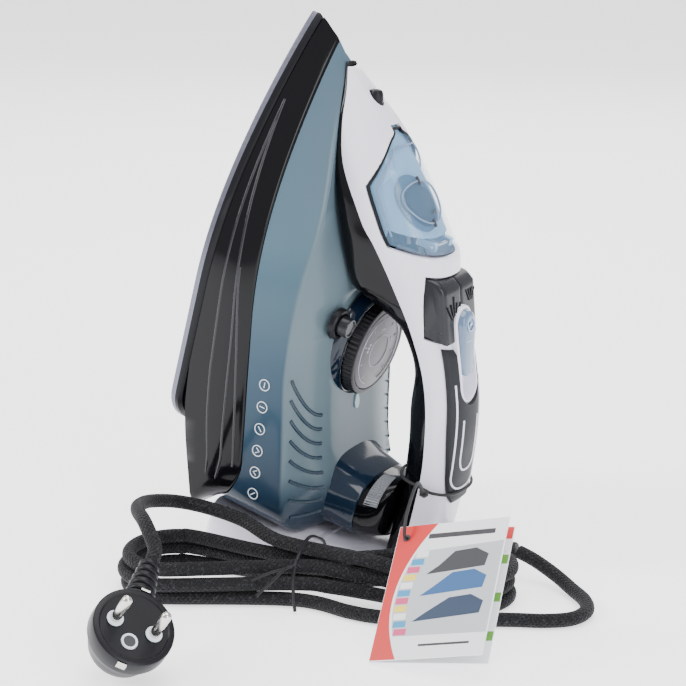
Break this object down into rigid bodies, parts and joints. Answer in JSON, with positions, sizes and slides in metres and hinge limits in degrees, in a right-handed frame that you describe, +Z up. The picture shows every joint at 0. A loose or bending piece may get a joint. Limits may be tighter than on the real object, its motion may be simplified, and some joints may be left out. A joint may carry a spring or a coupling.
{
  "type": "steam iron",
  "caption": "Household steam iron standing on its heel, with water tank, dial, slider, trigger buttons, tied mains cord with plug, and a folded hang tag.",
  "frame": {"origin": "on the floor, at the middle of the standing iron's footprint box, cord and tag left out", "axes": "+Z up. The iron stands on its heel and leans 15 degrees toward +X. The soleplate faces -X and the handle +X, and Y runs across the iron, which is the same on both sides"},
  "size_m": [0.2338, 0.2759, 0.2794],
  "materials": {
    "sole_metal": "brushed, slightly lavender",
    "cast_metal": "as cast",
    "steel": "satin",
    "nickel": "bright nickel plate",
    "black_gloss": "high gloss",
    "black_satin": "satin",
    "white_gloss": "gloss",
    "tank_blue": "clear, tinted teal",
    "lid_blue": "clear, tinted light blue",
    "slider_blue": "clear, tinted blue",
    "grip_rubber": "soft touch",
    "dial_grey": "satin",
    "navy_gloss": "high gloss",
    "lens_grey": "ribbed",
    "ceramic": "matt ceramic",
    "cord_black": "braided textile",
    "card_red": "coated card"
  },
  "bodies": {
    "iron": {"cord_hank": "cord_black", "cord_lead": "cord_black", "cord_plug_lead": "cord_black", "dial_base_ring": "navy_gloss", "elastic_loop": "black_satin", "grip_inlay_inner": "white_gloss", "grip_inlay_outer": "white_gloss", "grip_pad": "grip_rubber", "handle_inner_trim": "black_gloss", "handle_rear_cover": "black_gloss", "handle_shell": "white_gloss", "hang_tag_back": "card_red", "hang_tag_front": "card_red", "heater_casting": "cast_metal", "heating_element": "steel", "heel_screw_lower": "steel", "heel_screw_upper": "steel", "heel_stand": "white_gloss", "indicator_lamp": "ceramic", "indicator_lens": "lens_grey", "inlet_funnel": "lid_blue", "inlet_gasket": "black_satin", "lid_hinge_pin": "steel", "plug_body": "black_satin", "plug_earth_clip_bottom": "nickel", "plug_earth_clip_top": "nickel", "plug_pin_left": "nickel", "plug_pin_right": "nickel", "plug_strain_relief": "black_satin", "self_clean_collar": "black_satin", "slider_track": "white_gloss", "sole_skirt": "black_gloss", "soleplate": "sole_metal", "spray_nozzle": "black_satin", "spray_pump": "white_gloss", "spray_tube": "white_gloss", "steam_chamber_cover": "steel", "steam_pump": "white_gloss", "swivel_socket": "white_gloss", "tag_elastic": "black_satin", "terminal_block": "ceramic", "thermal_fuse": "ceramic", "thermostat": "ceramic", "water_tank": "tank_blue", "wire_tie": "black_satin"},
    "dial": {"thermostat_dial": "black_satin", "dial_face": "dial_grey", "thermostat_shaft": "steel"},
    "lid": {"filler_lid": "lid_blue"},
    "steam_key": {"steam_button": "black_satin"},
    "spray_key": {"spray_button": "black_satin"},
    "slider": {"steam_slider": "slider_blue"},
    "valve": {"steam_valve_rod": "steel"},
    "self_clean": {"self_clean_button": "black_satin"},
    "swivel": {"cord_swivel": "black_satin", "cord_strain_relief": "black_satin"}
  },
  "joints": [
    {"name": "dial_turn", "type": "hinge", "parent": "iron", "child": "dial", "pos_m": [0.0189, 0, 0.10861], "axis": [0.9659, 0, -0.2588], "range_deg": [0, 290]},
    {"name": "lid_open", "type": "hinge", "parent": "iron", "child": "lid", "pos_m": [0.05678, 0, 0.16886], "axis": [0, 1, 0], "range_deg": [0, 60]},
    {"name": "steam_press", "type": "slide", "parent": "iron", "child": "steam_key", "axis": [-0.9659, 0, 0.2588], "range_m": [0, 0.003], "stiffness_N_per_m": 600},
    {"name": "spray_press", "type": "slide", "parent": "iron", "child": "spray_key", "axis": [-0.9659, 0, 0.2588], "range_m": [0, 0.003], "stiffness_N_per_m": 600},
    {"name": "steam_slide", "type": "slide", "parent": "iron", "child": "slider", "axis": [0.0112, 0, -0.9999], "range_m": [0, 0.01]},
    {"name": "valve_lift", "type": "slide", "parent": "iron", "child": "valve", "axis": [0.9659, 0, -0.2588], "range_m": [0, 0.003]},
    {"name": "self_clean_press", "type": "slide", "parent": "iron", "child": "self_clean", "axis": [-0.9659, 0, 0.2588], "range_m": [0, 0.003], "stiffness_N_per_m": 400},
    {"name": "swivel_spin", "type": "hinge", "parent": "iron", "child": "swivel", "pos_m": [0.0619, 0, 0.01425], "axis": [1, 0, 0], "range_deg": [-180, 180]}
  ],
  "couplings": [
    {"joint": "valve_lift", "follows": "steam_slide", "ratio": 0.3}
  ]
}
